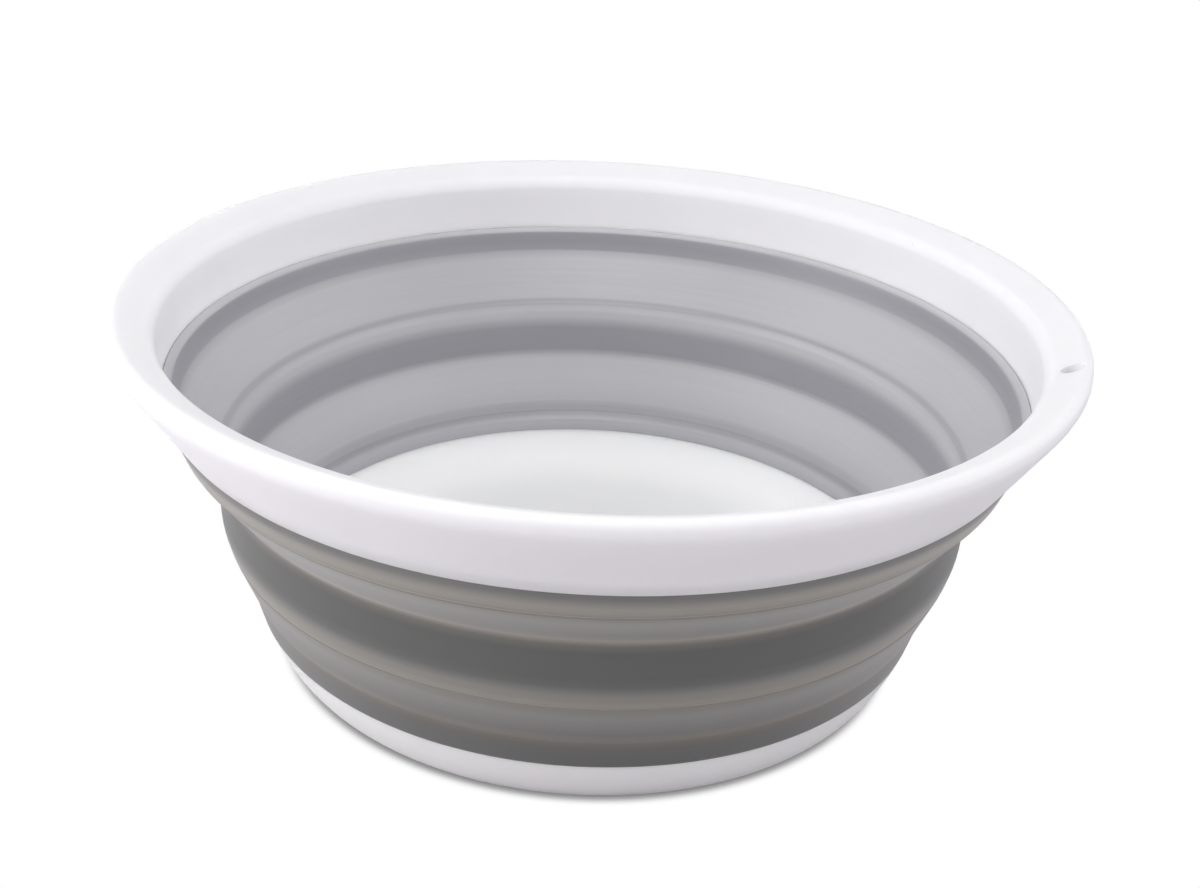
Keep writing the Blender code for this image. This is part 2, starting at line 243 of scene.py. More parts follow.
def round_corner(piece, before, corner, after):
    """Turns one corner of a section in edit mode into a round."""
    across, up, radius, segments = corner
    place = Vector((across, 0, up))
    sides = [Vector((other[0], 0, other[1])) - place for other in (before, after)]
    opening = sides[0].angle(sides[1])
    cut = radius / math.tan(opening / 2)
    shares = [SHARED_SIDE if len(other) > 2 else OWN_SIDE for other in (before, after)]
    cut = min([cut] + [part * side.length for part, side in zip(shares, sides)])
    pick_points(piece, lambda point: (point - place).length < SAME_PLACE)
    bpy.ops.mesh.bevel(
        offset=cut, offset_type="OFFSET", segments=segments, profile=0.5, affect="VERTICES"
    )


def round_corners(piece, corners):
    """Rounds each corner that gives a radius and a count of faces after its place."""
    for index, corner in enumerate(corners):
        if len(corner) > 2:
            after = corners[(index + 1) % len(corners)]
            round_corner(piece, corners[index - 1], corner, after)


def cut_long_edges(piece, longest):
    """Halves the edges of a section until none is longer than this."""
    bpy.ops.mesh.select_mode(type="EDGE")
    while True:
        shape = bmesh.from_edit_mesh(piece.data)
        bpy.ops.mesh.select_all(action="DESELECT")
        long = [edge for edge in shape.edges if edge.calc_length() > longest]
        if not long:
            return
        for edge in long:
            edge.select_set(True)
        bmesh.update_edit_mesh(piece.data)
        bpy.ops.mesh.subdivide(number_cuts=1)


def spin_round(piece, turning):
    """Spins a section all the way round the Z axis and closes the seam that this leaves."""
    bpy.ops.mesh.select_mode(type="VERT")
    bpy.ops.mesh.select_all(action="SELECT")
    bpy.ops.mesh.spin(
        steps=turning.steps, angle=2 * math.pi, center=(0, 0, 0), axis=(0, 0, 1)
    )
    bpy.ops.mesh.select_all(action="SELECT")
    bpy.ops.mesh.remove_doubles(threshold=SAME_PLACE)
    bpy.ops.mesh.normals_make_consistent(inside=False)
    bpy.ops.object.mode_set(mode="OBJECT")
    bpy.ops.object.shade_smooth_by_angle(angle=turning.smooth)


def turned(name, corners, turning, longest=None, closed=True):
    """A ring or a dish: its section is traced, rounded, cut finer and spun.

    A corner is a radius and a level. One to be rounded goes on with the round's own radius and
    its count of faces.
    """
    piece = trace(name, corners, closed)
    round_corners(piece, corners)
    if longest:
        cut_long_edges(piece, longest)
    spin_round(piece, turning)
    return piece


def on_line(start, end, level):
    """The point of a section's straight stretch at a level."""
    part = (level - start[1]) / (end[1] - start[1])
    return (start[0] + part * (end[0] - start[0]), level)


def curve(start, pull, end, steps):
    """Points along a smooth curve that leaves start towards pull and comes to end from it."""
    points = []
    for step in range(steps + 1):
        after = step / steps
        before = 1 - after
        points.append(tuple(
            before * before * start[axis] + 2 * before * after * pull[axis] + after * after * end[axis]
            for axis in (0, 1)
        ))
    return points


def set_material(piece, *materials):
    """Gives a piece these materials and no others."""
    piece.data.materials.clear()
    for material in materials:
        piece.data.materials.append(material)


# The sockets by which a Mix node takes its two colours and gives the mixed one
FIRST, SECOND, MIXED = 6, 7, 2


class Field:
    """A socket of a material that Python reckons with: each operator adds a Math node."""

    def __init__(self, tree, output=None):
        self.tree = tree
        self.output = output

    def node(self, kind, settings, sockets, output=0):
        """A node of any kind: its settings are made, then its sockets filled.

        The setting called stops holds a ramp's greys, each a place and a tone.
        """
        made = self.tree.nodes.new(kind)
        for name, value in settings.items():
            if name == "stops":
                ramp = made.color_ramp
                for stop, (place, tone) in zip(self.stops(ramp, len(value)), value):
                    stop.position = place
                    stop.color = (tone, tone, tone, 1)
            else:
                setattr(made, name, value)
        for name, value in sockets.items():
            if isinstance(value, Field):
                self.tree.links.new(value.output, made.inputs[name])
            else:
                made.inputs[name].default_value = value
        return Field(self.tree, made.outputs[output])

    @staticmethod
    def stops(ramp, count):
        """A ramp's stops, with new ones added up to this count."""
        while len(ramp.elements) < count:
            ramp.elements.new(1)
        return ramp.elements

    def reckon(self, operation, first, second):
        """What one Math node makes of two values."""
        return self.node("ShaderNodeMath", {"operation": operation}, {0: first, 1: second})

    def __add__(self, other):
        return self.reckon("ADD", self, other)

    def __radd__(self, other):
        return self.reckon("ADD", other, self)

    def __sub__(self, other):
        return self.reckon("SUBTRACT", self, other)

    def __rsub__(self, other):
        return self.reckon("SUBTRACT", other, self)

    def __mul__(self, other):
        return self.reckon("MULTIPLY", self, other)

    def __rmul__(self, other):
        return self.reckon("MULTIPLY", other, self)

    def __truediv__(self, other):
        return self.reckon("DIVIDE", self, other)

    def __abs__(self):
        return self.node("ShaderNodeMath", {"operation": "ABSOLUTE"}, {0: self})

    def blend(self, low, high):
        """A colour between two, by this value."""
        return self.node(
            "ShaderNodeMix", {"data_type": "RGBA"}, {0: self, FIRST: low, SECOND: high},
            output=MIXED,
        )

    def tinted(self, tint):
        """This colour times another."""
        return self.node(
            "ShaderNodeMix", {"data_type": "RGBA", "blend_type": "MULTIPLY"},
            {0: 1.0, FIRST: self, SECOND: tint}, output=MIXED,
        )


def new_material(name):
    """An empty material, a field to build it with and its output node."""
    material = bpy.data.materials.new(name)
    material.use_nodes = True
    tree = material.node_tree
    tree.nodes.clear()
    output = tree.nodes.new("ShaderNodeOutputMaterial")
    return material, Field(tree), output


def noise(field, place, scale, detail=2.0, roughness=0.5):
    """A smooth random value on the object, with this many waves to the metre."""
    sockets = {"Vector": place, "Scale": scale, "Detail": detail, "Roughness": roughness}
    return field.node("ShaderNodeTexNoise", {}, sockets)


def specks(field, place, scale, reach):
    """One where a speck lies and nought elsewhere."""
    near = field.node(
        "ShaderNodeTexVoronoi", {"feature": "F1"}, {"Vector": place, "Scale": scale}
    )
    return field.reckon("LESS_THAN", near, reach)


def plain_tone(tone):
    """A colour that is the same all over a piece."""
    def build(field):
        flat = (*tone, 1)
        return field.node(
            "ShaderNodeMix", {"data_type": "RGBA"}, {0: 0.0, FIRST: flat, SECOND: flat},
            output=MIXED,
        )
    return build


def fade(field, value, start, end, before=0.0, after=1.0):
    """Goes smoothly from one number to another while a value goes from start to end."""
    return field.node(
        "ShaderNodeMapRange", {"interpolation_type": "SMOOTHSTEP"},
        {"Value": value, "From Min": start, "From Max": end, "To Min": before, "To Max": after},
    )


def line_along(field, level, centre, reach):
    """One on a line round the wall at a level, falling smoothly to nought on both sides of it."""
    return fade(field, abs(level - centre), 0.0, reach, 1.0, 0.0)


def grey(tone):
    """A grey, with the alpha that a socket asks for."""
    return (tone, tone, tone, 1)


# Streaks round the wall: waves to the metre round it and up it, and the darkest and palest tint
STREAKS_ROUND = 9.0
STREAKS_UP = 800.0
STREAK_TINTS = (0.955, 1.045)


def wall_tone(shade_tone, light_tone, hinge_lighting, light_share, hinges):
    """The soft wall's colour, with painted light and shade by level and along its hinges."""
    def build(field):
        level = field.node(
            "ShaderNodeAttribute", {"attribute_name": "rest_level"}, {}, output="Fac"
        )
        stops = [(place / RIM_HIGH.z, amount) for place, amount in light_share]
        light_amount = field.node("ShaderNodeValToRGB", {"stops": stops}, {0: level / RIM_HIGH.z})
        tone = light_amount.blend((*shade_tone, 1), (*light_tone, 1))
        for centre, reach, amount in hinges:
            line = line_along(field, level, centre, reach) * amount
            tone = tone.tinted(line.blend(grey(1), (*hinge_lighting, 1)))
        dark, pale = STREAK_TINTS
        return tone.tinted(streaks(field, level).blend(grey(dark), grey(pale)))
    return build


def streaks(field, level):
    """Fine bands that run round the wall, as a mould leaves them."""
    place = field.node("ShaderNodeTexCoord", {}, {}, output="Object")
    across, along = (
        field.node("ShaderNodeSeparateXYZ", {}, {0: place}, output=axis) for axis in range(2)
    )
    stretched = field.node(
        "ShaderNodeCombineXYZ", {},
        {0: across * STREAKS_ROUND, 1: along * STREAKS_ROUND, 2: level * STREAKS_UP},
    )
    return noise(field, stretched, 1.0, detail=3.0, roughness=0.6)


# Clouds in a plastic's colour: waves to the metre, and the darkest and palest tint
CLOUD_SCALE = 26.0
CLOUD_TINTS = (0.97, 1.02)
# Dust in it: specks to the metre, how far each reaches in its cell, and its strength and colour
SPECK_SCALE = 55.0
SPECK_REACH = 0.011
SPECK_STRENGTH = 0.5
SPECK_TONE = (0.1, 0.09, 0.09, 1)
# Patches of more and less gloss: waves to the metre, and how much the roughness changes
GLOSS_SCALE = 70.0
GLOSS_CHANGE = 0.08
# What the plastics share: refraction, the softness of sheen, and how light spreads inside
REFRACTION = 1.48
SHEEN_ROUGHNESS = 0.4
LIGHT_SPREAD = (1.0, 0.95, 0.95)
# A grain: waves to the metre and relief in metres, fine and broad
WHITE_GRAIN = {"scale": 1500.0, "depth": 0.000006, "broad_scale": 90.0, "broad_depth": 0.00002}
GREY_GRAIN = {"scale": 2200.0, "depth": 0.000022, "broad_scale": 60.0, "broad_depth": 0.00005}
# How far light goes into the white plastic, and how strong its gloss is, where half is usual
WHITE_DEPTH = 0.004
WHITE_GLOSS = 0.3
# The soft wall's sheen, which dust and fine scratches give it
INNER_SHEEN = 0.1
OUTER_SHEEN = 0.5


def plastic(name, tone, roughness, grain, sheen=0.0, depth=0.0, gloss_level=0.5):
    """A moulded plastic: a colour with slight clouds and specks, and a fine grain in relief."""
    material, field, output = new_material(name)
    place = field.node("ShaderNodeTexCoord", {}, {}, output="Object")
    base = tone(field)
    dark, pale = CLOUD_TINTS
    clouds = noise(field, place, CLOUD_SCALE, detail=3.0)
    base = base.tinted(clouds.blend(grey(dark), grey(pale)))
    speck = specks(field, place, SPECK_SCALE, SPECK_REACH)
    base = (speck * SPECK_STRENGTH).blend(base, SPECK_TONE)
    fine = noise(field, place, grain["scale"], roughness=0.6)
    broad = noise(field, place, grain["broad_scale"])
    height = fine * grain["depth"] + broad * grain["broad_depth"]
    bump = field.node(
        "ShaderNodeBump", {}, {"Strength": 1.0, "Distance": 1.0, "Height": height}
    )
    gloss = roughness + GLOSS_CHANGE * (noise(field, place, GLOSS_SCALE) - 0.5)
    sockets = {
        "Base Color": base, "Roughness": gloss, "Normal": bump, "Metallic": 0.0,
        "IOR": REFRACTION, "Specular IOR Level": gloss_level,
        "Sheen Weight": sheen, "Sheen Roughness": SHEEN_ROUGHNESS,
        "Subsurface Weight": float(depth > 0), "Subsurface Scale": depth,
        "Subsurface Radius": LIGHT_SPREAD,
    }
    shader = field.node("ShaderNodeBsdfPrincipled", {}, sockets)
    field.tree.links.new(shader.output, output.inputs["Surface"])
    return material


# Painted light and shade by level: each level, with a share that is nought where the wall is most
# shaded
LIGHT_SHARE_OUTSIDE = [
    (0.0220, 0.08), (0.0285, 0.09), (0.0315, 0.14), (0.0352, 0.39), (0.0368, 0.37), (0.0385, 0.33),
    (0.0425, 0.52), (0.0480, 0.79), (0.0512, 0.56), (0.0532, 0.67), (0.0548, 0.91), (0.0570, 0.73),
    (0.0592, 0.65), (0.0630, 0.08), (0.0660, 0.0), (0.0755, 0.0), (0.0785, 0.26), (0.0805, 0.87),
    (0.0816, 0.89), (0.0832, 0.60), (0.0865, 0.62), (0.0928, 0.94), (0.0945, 0.86), (0.0962, 0.62),
    (0.0984, 0.59), (0.1003, 0.96), (0.1023, 1.0), (0.1045, 0.67), (0.1068, 0.31),
]
LIGHT_SHARE_INSIDE = [
    (0.0230, 0.45), (0.0265, 0.70), (0.0285, 0.47), (0.0297, 0.02), (0.0305, 0.0), (0.0315, 0.46),
    (0.0335, 0.48), (0.0358, 0.70), (0.0400, 0.83), (0.0470, 0.97), (0.0552, 0.96), (0.0582, 0.55),
    (0.0604, 0.0), (0.0715, 0.03), (0.0745, 0.39), (0.0772, 0.91), (0.0795, 1.0), (0.0812, 0.75),
    (0.0850, 0.67), (0.0880, 0.72), (0.1020, 0.65), (0.1062, 0.03), (0.1134, 0.0), (0.1148, 0.85),
]
# Painted light outside and painted shade inside, along the hinges: each line's level, reach and
# strength
HINGE_LIGHT_LINES = [
    (0.0336, 0.0080, 1.0), (0.0545, 0.0070, 0.8), (0.0806, 0.0076, 0.85), (0.0998, 0.0076, 0.95),
]
HINGE_SHADE_LINES = [(0.0838, 0.0021, 1.0), (0.1103, 0.0060, 0.45)]


def white_plastic(tone, finishes, name):
    """The hard plastic of the rim and the base, which light enters a little."""
    return plastic(
        name, plain_tone(tone), finishes.white_roughness, WHITE_GRAIN,
        depth=WHITE_DEPTH, gloss_level=WHITE_GLOSS,
    )


def grey_rubber(tone, finishes, name, sheen):
    """The soft plastic of the wall."""
    return plastic(name, tone, finishes.grey_roughness, GREY_GRAIN, sheen)


# The least outward share of a face's normal where the face is the wall's outside
OUTWARD = 0.02


def paint_wall(piece, finishes):
    """The wall's faces that look out from the axis get the outer grey, the rest the inner."""
    level = piece.data.attributes.new("rest_level", "FLOAT", "POINT")
    for point, item in zip(piece.data.vertices, level.data):
        item.value = point.co.z
    inside = wall_tone(
        finishes.shade_inside, finishes.light_inside, finishes.hinge_shade, LIGHT_SHARE_INSIDE, HINGE_SHADE_LINES
    )
    outside = wall_tone(
        finishes.shade_outside, finishes.light_outside, finishes.hinge_light,
        LIGHT_SHARE_OUTSIDE, HINGE_LIGHT_LINES,
    )
    # The inner and outer greys are lit and shaded copies of one rubber: painted light inside, painted
    # shade outside
    inner = grey_rubber(inside, finishes, piece.name + "_inside", INNER_SHEEN)
    outer = grey_rubber(outside, finishes, piece.name + "_outside", OUTER_SHEEN)
    set_material(piece, inner, outer)
    bpy.ops.object.mode_set(mode="EDIT")
    bpy.ops.mesh.select_mode(type="FACE")
    bpy.ops.mesh.select_all(action="DESELECT")
    shape = bmesh.from_edit_mesh(piece.data)
    for face in shape.faces:
        middle = face.calc_center_median()
        outward = Vector((middle.x, middle.y, 0)).normalized()
        if face.normal.dot(outward) > OUTWARD:
            face.select_set(True)
    bmesh.update_edit_mesh(piece.data)
    piece.active_material_index = 1
    bpy.ops.object.material_slot_assign()
    bpy.ops.object.mode_set(mode="OBJECT")


# Width of the patches over which the soft wall strays
PATCH = 0.06


def make_uneven(piece, amount):
    """Lets the soft wall stray a little from true, alike where its halves meet."""
    clouds = bpy.data.textures.new("wall_clouds", "CLOUDS")
    clouds.noise_scale = PATCH
    clouds.noise_depth = 1
    clouds.cloud_type = "COLOR"
    stray = piece.modifiers.new("Unevenness", "DISPLACE")
    stray.texture = clouds
    stray.texture_coords = "LOCAL"
    stray.direction = "RGB_TO_XYZ"
    stray.mid_level = 0.5
    stray.strength = amount
    bpy.ops.object.modifier_apply(modifier=stray.name)


def rim_seams():
    """The outer seam under the skirt and the inner seam above the wall, as section points."""
    rim = bpy.context.scene.basin_rim
    outer = (rim.radius - rim.lip_overhang - rim.skirt_taper, RIM_LOW.z)
    inner = (rim.seam_radius, rim.seam_level)
    return outer, inner


def base_seams():
    """The outer and the inner seam between the wall and the base, as section points."""
    base = bpy.context.scene.basin_base
    outer = (BASE_HIGH.x, base.seam)
    inner = (outer[0] - base.wall, base.seam + base.inner_rise)
    return outer, inner


# The gap that keeps the wall's faces off the faces it is bonded to
BOND_GAP = 0.00005
# Rounds of the wall's section, each a radius and a count of faces
SEAM_ROUND = (0.0002, 2)
GROOVE_LIP = (0.0006, 3)
GROOVE_BOTTOM = (0.0005, 3)
# How far a groove's bottom lies over the hinge, as a share of half the groove's width
GROOVE_LIFT = 0.1


def hinge_groove(sizes, over, edge, under):
    """The groove outside along a hinge, at the edge where two stretches of the wall meet."""
    half = sizes.groove_width / 2
    above = on_line(over, edge, edge[1] + half)
    bottom = (edge[0] - sizes.groove_depth, edge[1] + GROOVE_LIFT * half)
    below = on_line(under, edge, edge[1] - half)
    return [(*above, *GROOVE_LIP), (*bottom, *GROOVE_BOTTOM), (*below, *GROOVE_LIP)]


# Faces down the outside of the lip
LIP_STEPS = 12
# The drill for the hanging hole: its faces, its length and how far its middle lies under the ridge
DRILL_FACES = 48
DRILL_LENGTH = 0.05
DRILL_DROP = 0.015


class MODEL_OT_rim(Operator):
    """Models the white rim: lip, skirt, inner flare and hanging hole"""

    bl_idname = "basin.rim"
    bl_label = "Rim"

    def execute(self, context):
        sizes = context.scene.basin_rim
        seam, inner_seam = rim_seams()
        widest = (sizes.radius, sizes.lip_top - sizes.lip_crown)
        draw_in = (sizes.radius, sizes.lip_top - sizes.lip_drop)
        crease = (sizes.radius - sizes.lip_overhang, sizes.lip_top - sizes.lip_height)
        rise = 1 / math.cos(sizes.brim_slope) + math.tan(sizes.brim_slope) - 1
        peak = sizes.lip_top + sizes.lip_round * rise
        width = sizes.radius - sizes.inside_radius
        brim_foot = peak - width * math.tan(sizes.brim_slope)
        corners = [
            (sizes.radius, peak, sizes.lip_round, 10),
            *curve(widest, draw_in, crease, LIP_STEPS)[:-1],
            (*crease, sizes.crease_round, 4),
            (*seam, sizes.edge_round, 3),
            (seam[0] - sizes.edge, seam[1]),
            (*inner_seam, sizes.edge_round, 2),
            (sizes.inside_radius, brim_foot, sizes.brim_round, 16),
        ]
        piece = turned("rim_shell", corners, context.scene.basin_turning)
        self.drill(piece, sizes)
        finishes = context.scene.basin_finishes
        set_material(piece, white_plastic(finishes.white, finishes, "rim_white"))
        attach(piece, "rim")
        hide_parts("rim")
        return {"FINISHED"}

    def drill(self, piece, sizes):
        """Cuts the hanging hole straight down through the root of the lip."""
        start_fresh()
        reach = sizes.radius - sizes.hole_inset
        bpy.ops.mesh.primitive_cylinder_add(
            vertices=DRILL_FACES, radius=sizes.hole_radius, depth=DRILL_LENGTH,
            location=(
                reach * math.cos(sizes.hole_azimuth), reach * math.sin(sizes.hole_azimuth),
                sizes.lip_top - DRILL_DROP,
            ),
        )
        cutter = bpy.context.object
        start_fresh()
        piece.select_set(True)
        bpy.context.view_layer.objects.active = piece
        hole = piece.modifiers.new("Hanging hole", "BOOLEAN")
        hole.operation = "DIFFERENCE"
        hole.solver = "EXACT"
        hole.object = cutter
        bpy.ops.object.modifier_apply(modifier=hole.name)
        bpy.data.objects.remove(cutter)
        bpy.ops.object.shade_smooth_by_angle(angle=bpy.context.scene.basin_turning.smooth)


class MODEL_OT_upper_wall(Operator):
    """Models the upper half of the soft wall, from the rim to the middle of the ring"""

    bl_idname = "basin.upper_wall"
    bl_label = "Upper wall"

    def execute(self, context):
        sizes = context.scene.basin_wall
        turning = context.scene.basin_turning
        seam, inner_seam = rim_seams()
        skirt_edge = seam[0] - context.scene.basin_rim.edge
        edge = (sizes.collar_radius, sizes.collar_foot)
        foot = (sizes.web_foot_radius, sizes.web_foot)
        waist = (sizes.waist_radius, sizes.waist)
        swell = (sizes.swell_radius, sizes.swell)
        bend_drop, bend_bulge = 0.0038, 0.0002
        bend = on_line(seam, edge, seam[1] - bend_drop)
        bend = (bend[0] + bend_bulge, bend[1])
        ledge_width, ledge_fall = 0.0036, 0.0012
        ledge = (inner_seam[0] - ledge_width, inner_seam[1] - ledge_fall)
        fold = (0.16137, 0.1054)
        web_end = (0.1486, 0.0854)
        inner_groove = (0.14800, 0.0842)
        step = (0.14690, 0.0833)
        shoulder = (0.14540, 0.0800)
        shoulder_foot = (sizes.inside_radius, 0.0738)
        corners = [
            (inner_seam[0] - BOND_GAP, inner_seam[1], *SEAM_ROUND),
            (skirt_edge - BOND_GAP, seam[1] - BOND_GAP),
            (seam[0] - sizes.collar_step, seam[1] - BOND_GAP, *SEAM_ROUND),
            (*bend, 0.006, 5),
            *hinge_groove(sizes, bend, edge, foot),
            (*foot, 0.005, 7),
            (*waist, 0.012, 4),
            on_line(waist, swell, sizes.middle),
            (sizes.inside_radius, sizes.middle),
            (*shoulder_foot, 0.012, 6),
            (*shoulder, 0.004, 4),
            (*step, 0.0008, 3),
            (*inner_groove, 0.0003, 2),
            (*web_end, 0.0008, 3),
            (*fold, 0.002, 6),
            (*ledge, 0.0008, 4),
        ]
        piece = turned("upper_wall", corners, turning, turning.fold_step)
        make_uneven(piece, sizes.unevenness)
        paint_wall(piece, context.scene.basin_finishes)
        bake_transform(piece)
        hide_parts("upper_collar", "upper_web", "middle_ring")
        return {"FINISHED"}


class MODEL_OT_lower_wall(Operator):
    """Models the lower half of the soft wall, from the middle of the ring to the base"""

    bl_idname = "basin.lower_wall"
    bl_label = "Lower wall"

    def execute(self, context):
        sizes = context.scene.basin_wall
        turning = context.scene.basin_turning
        waist = (sizes.waist_radius, sizes.waist)
        swell = (sizes.swell_radius, sizes.swell)
        edge = (sizes.ring_foot_radius, sizes.ring_foot)
        foot = (sizes.cuff_radius, sizes.cuff)
        seam, inner_seam = base_seams()
        fold = (sizes.inside_radius, 0.0577)
        web_end = (0.13674, 0.0360)
        hollow = (0.13600, 0.0306)
        bead_top = (0.13410, 0.0292)
        bead = (0.13260, 0.0276)
        corners = [
            on_line(waist, swell, sizes.middle),
            (*swell, 0.03, 10),
            *hinge_groove(sizes, swell, edge, foot),
            (*foot, 0.004, 6),
            (seam[0], seam[1] + BOND_GAP, *SEAM_ROUND),
            (inner_seam[0], inner_seam[1] + BOND_GAP, *SEAM_ROUND),
            (*bead, 0.0012, 4),
            (*bead_top, 0.0014, 4),
            (*hollow, 0.0008, 4),
            (*web_end, 0.003, 4),
            (*fold, 0.002, 6),
            (sizes.inside_radius, sizes.middle),
        ]
        piece = turned("lower_wall", corners, turning, turning.fold_step)
        make_uneven(piece, sizes.unevenness)
        paint_wall(piece, context.scene.basin_finishes)
        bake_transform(piece)
        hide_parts("lower_collar", "lower_web")
        return {"FINISHED"}


# Rings across the flat floor, as shares of its radius
FLOOR_RINGS = (0.4, 0.8)
# Where the base's two curves are pulled to: shares of the way across, and up for the outer one
FLOOR_PULL = 0.8
SIDE_PULL = (0.53, 0.24)
# Faces along each of these curves
CURVE_STEPS = 20


class MODEL_OT_base(Operator):
    """Models the white dish under the wall, with its flat floor and foot ring"""

    bl_idname = "basin.base"
    bl_label = "Base"

    def execute(self, context):
        sizes = context.scene.basin_base
        seam, inner_seam = base_seams()
        floor = sizes.foot_depth + sizes.floor_wall
        floor_edge = (inner_seam[0] - sizes.floor_reach, floor)
        floor_pull = (floor_edge[0] + FLOOR_PULL * sizes.floor_reach, floor)
        foot = (sizes.foot_radius, 0)
        side_pull = (foot[0] + SIDE_PULL[0] * (seam[0] - foot[0]), SIDE_PULL[1] * seam[1])
        inside = foot[0] - sizes.foot_width
        corners = [
            (0, floor),
            *((part * floor_edge[0], floor) for part in FLOOR_RINGS),
            *curve(floor_edge, floor_pull, inner_seam, CURVE_STEPS)[:-1],
            (*inner_seam, *SEAM_ROUND),
            (*seam, *SEAM_ROUND),
            *curve(seam, side_pull, foot, CURVE_STEPS)[1:-1],
            (*foot, 0.0006, 4),
            (inside, 0, 0.0012, 4),
            (inside - sizes.foot_depth / 2, sizes.foot_depth, 0.0012, 4),
            (inside / 2, sizes.foot_depth),
            (0, sizes.foot_depth),
        ]
        piece = turned("base_dish", corners, context.scene.basin_turning, closed=False)
        finishes = context.scene.basin_finishes
        set_material(piece, white_plastic(finishes.base_white, finishes, "base_white"))
        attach(piece, "base")
        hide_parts("base")
        return {"FINISHED"}


# How bright the studio is around the basin, where one is white, and its tint
BEHIND = 0.54
RIGHT = 1.86
LEFT = 1.26
STUDIO_TINT = (0.98, 0.985, 1.0, 1)
# Where the studio fades out overhead, as heights on a globe of radius one
SKY_FADE = (0.35, 0.65)

# The floor's width, and how far it lies under the base
FLOOR_WIDTH = 12
FLOOR_DROP = 0.0001
# What the floor gives back under the basin, beside it and far off, and where these fade over
# Under the basin and far off, the floor is darker as painted shade
FLOOR_SHADE_UNDER = (0.55, 0.525, 0.55, 1)
FLOOR_BESIDE = (0.87, 0.83, 0.875, 1)
FLOOR_SHADE_FAR = (0.6, 0.6, 0.6, 1)
BESIDE_FADE = (0.13, 0.32)
FAR_FADE = (0.3, 1.2)
# The shadow along the foot: how far it looks for the basin, in how many directions, and its
# tone by how open a place is
SHADOW_REACH = 0.0055
SHADOW_SAMPLES = 12
SHADOW_TONES = [(0.0, 0.14), (0.25, 0.3), (0.55, 0.9), (0.75, 1.0)]

# The softboxes: name, place, the point each faces, width and height, and power in watts
SOFTBOXES = [
    ("overhead", (0, 0, 1.3), (0, 0, 0.05), (0.7, 0.7), 5.0),
    ("front", (0, -1.6, 2.0), (0, 0, 0.1), (1.4, 0.8), 14.0),
    ("top_front", (0, -0.5, 1.25), (0, 0, 0.1), (1.4, 0.4), 1.7),
    ("near_front", (0, -0.62, 0.55), (0, -0.18, 0.14), (0.9, 0.2), 0.7),
    ("top_left", (-0.9, -0.1, 0.9), (0, 0, 0.1), (0.6, 0.9), 1.5),
    ("top_right", (0.9, -0.1, 0.9), (0, 0, 0.1), (0.6, 0.9), 1.15),
    ("left", (-1.2, -0.35, 0.4), (0, 0, 0.06), (0.6, 0.8), 6.8),
]

# The camera: its place, its lens and sensor in millimetres, and its angles
CAMERA_PLACE = (0, -0.57329, 0.35776)
CAMERA_LENS = 47.31
CAMERA_SENSOR = 36
CAMERA_YAW = 0.003612
CAMERA_PITCH = 0.452608
CAMERA_ROLL = 0.051568


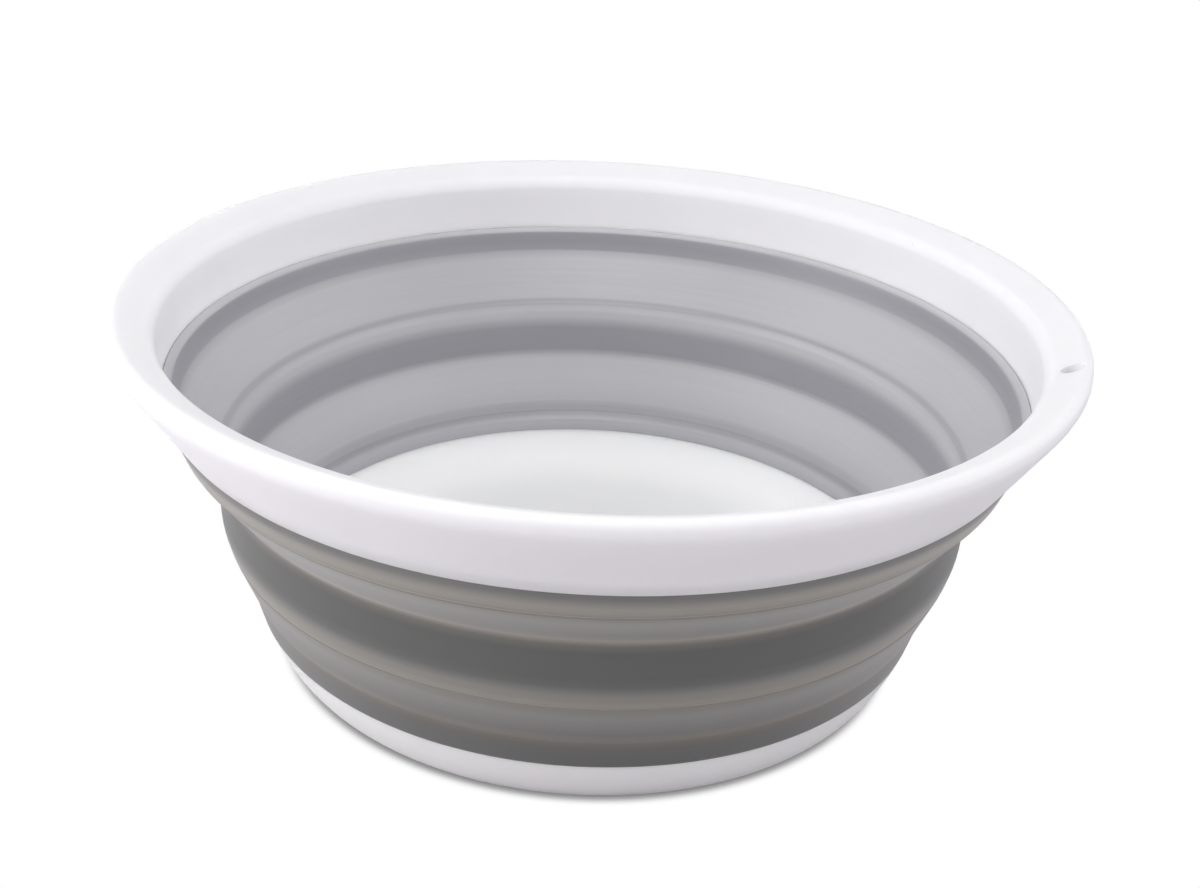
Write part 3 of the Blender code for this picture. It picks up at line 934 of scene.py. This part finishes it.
class MODEL_OT_stage(Operator):
    """Sets the floor, the lights, the world and the camera"""

    bl_idname = "basin.stage"
    bl_label = "Stage"

    def execute(self, context):
        self.floor()
        self.world(context.scene)
        self.lights()
        self.camera(context.scene)
        context.scene.view_settings.view_transform = "Standard"
        return {"FINISHED"}

    def floor(self):
        """A floor that is white to the camera but for the shadow along the foot."""
        start_fresh()
        bpy.ops.mesh.primitive_plane_add(size=FLOOR_WIDTH, location=(0, 0, -FLOOR_DROP))
        floor = bpy.context.object
        floor.name = "floor"
        bpy.ops.object.transform_apply(location=True, rotation=True, scale=True)
        material, field, output = new_material("floor_white")
        place = field.node("ShaderNodeTexCoord", {}, {}, output="Object")
        reach = field.node(
            "ShaderNodeVectorMath", {"operation": "LENGTH"}, {0: place}, output="Value"
        )
        # The floor's bounce tone is painted shade: darker under the basin and far off
        outer_tone = fade(field, reach, *FAR_FADE).blend(FLOOR_BESIDE, FLOOR_SHADE_FAR)
        tone = fade(field, reach, *BESIDE_FADE).blend(FLOOR_SHADE_UNDER, outer_tone)
        bounce = field.node("ShaderNodeBsdfDiffuse", {}, {"Color": tone})
        near = field.node(
            "ShaderNodeAmbientOcclusion", {"samples": SHADOW_SAMPLES}, {"Distance": SHADOW_REACH},
            output="AO",
        )
        shade = field.node("ShaderNodeValToRGB", {"stops": SHADOW_TONES}, {0: near})
        seen = field.node("ShaderNodeEmission", {}, {"Color": shade, "Strength": 1.0})
        camera_ray = field.node("ShaderNodeLightPath", {}, {}, output="Is Camera Ray")
        surface = field.node("ShaderNodeMixShader", {}, {0: camera_ray, 1: bounce, 2: seen})
        field.tree.links.new(surface.output, output.inputs["Surface"])
        set_material(floor, material)

    def world(self, scene):
        """White to the camera, and to the basin a studio that is bright behind and beside."""
        world = bpy.data.worlds.new("studio")
        world.use_nodes = True
        world.node_tree.nodes.clear()
        field = Field(world.node_tree)
        seen = field.node("ShaderNodeBackground", {}, {"Color": (1, 1, 1, 1), "Strength": 1.0})
        way = field.node("ShaderNodeTexCoord", {}, {}, output="Generated")
        across, along, up = (
            field.node("ShaderNodeSeparateXYZ", {}, {0: way}, output=axis) for axis in range(3)
        )
        flat = across * across + along * along
        sky = fade(field, up, *SKY_FADE)
        level = 0.0
        for towards, strength in ((along, BEHIND), (across, RIGHT), (-1.0 * across, LEFT)):
            part = field.reckon("MAXIMUM", towards, 0.0)
            level = part * part / flat * strength + level
        strength = (1.0 - sky) * level
        studio = field.node(
            "ShaderNodeBackground", {}, {"Color": STUDIO_TINT, "Strength": strength}
        )
        camera_ray = field.node("ShaderNodeLightPath", {}, {}, output="Is Camera Ray")
        mixed = field.node("ShaderNodeMixShader", {}, {0: camera_ray, 1: studio, 2: seen})
        output = world.node_tree.nodes.new("ShaderNodeOutputWorld")
        world.node_tree.links.new(mixed.output, output.inputs["Surface"])
        scene.world = world

    def lights(self):
        """All the softboxes."""
        for softbox in SOFTBOXES:
            self.softbox(*softbox)

    def softbox(self, name, place, aim, size, power):
        """A rectangular lamp that is turned towards a point."""
        bpy.ops.object.light_add(type="AREA", location=place)
        lamp = bpy.context.object
        lamp.name = name
        lamp.data.shape = "RECTANGLE"
        lamp.data.size = size[0]
        lamp.data.size_y = size[1]
        lamp.data.energy = power
        direction = Vector(aim) - Vector(place)
        lamp.rotation_euler = direction.to_track_quat("-Z", "Y").to_euler()

    def camera(self, scene):
        """A camera that looks into the basin from above and in front."""
        bpy.ops.object.camera_add()
        camera = bpy.context.object
        camera.name = "camera"
        camera.data.sensor_width = CAMERA_SENSOR
        camera.data.lens = CAMERA_LENS
        turn = (
            Matrix.Rotation(-CAMERA_YAW, 4, "Z")
            @ Matrix.Rotation(math.pi / 2 - CAMERA_PITCH, 4, "X")
            @ Matrix.Rotation(CAMERA_ROLL, 4, "Z")
        )
        camera.matrix_world = Matrix.Translation(CAMERA_PLACE) @ turn
        scene.camera = camera


class VIEW3D_PT_washbasin(Panel):
    """Shows every size and finish, and the steps that build the basin"""

    bl_label = "Washbasin"
    bl_space_type = "VIEW_3D"
    bl_region_type = "UI"
    bl_category = "Washbasin"

    def draw(self, context):
        for group in GROUPS:
            box = self.layout.box()
            sizes = getattr(context.scene, group)
            for name in sizes.__annotations__:
                box.prop(sizes, name)
        for operator in OPERATORS:
            self.layout.operator(operator.bl_idname)


GROUPS = {
    "basin_rim": RimSizes,
    "basin_wall": WallSizes,
    "basin_base": BaseSizes,
    "basin_finishes": Finishes,
    "basin_turning": Turning,
}
OPERATORS = [
    MODEL_OT_rim,
    MODEL_OT_upper_wall,
    MODEL_OT_lower_wall,
    MODEL_OT_base,
    MODEL_OT_stage,
]


def register():
    for name, group in GROUPS.items():
        bpy.utils.register_class(group)
        setattr(bpy.types.Scene, name, PointerProperty(type=group))
    for operator in OPERATORS:
        bpy.utils.register_class(operator)
    bpy.utils.register_class(VIEW3D_PT_washbasin)


def unregister():
    bpy.utils.unregister_class(VIEW3D_PT_washbasin)
    for operator in reversed(OPERATORS):
        bpy.utils.unregister_class(operator)
    for name, group in GROUPS.items():
        delattr(bpy.types.Scene, name)
        bpy.utils.unregister_class(group)


def main():
    register()
    bpy.ops.basin.rim()
    bpy.ops.basin.upper_wall()
    bpy.ops.basin.lower_wall()
    bpy.ops.basin.base()
    bpy.ops.basin.stage()
    bpy.context.view_layer.update()


if __name__ == "__main__":
    main()
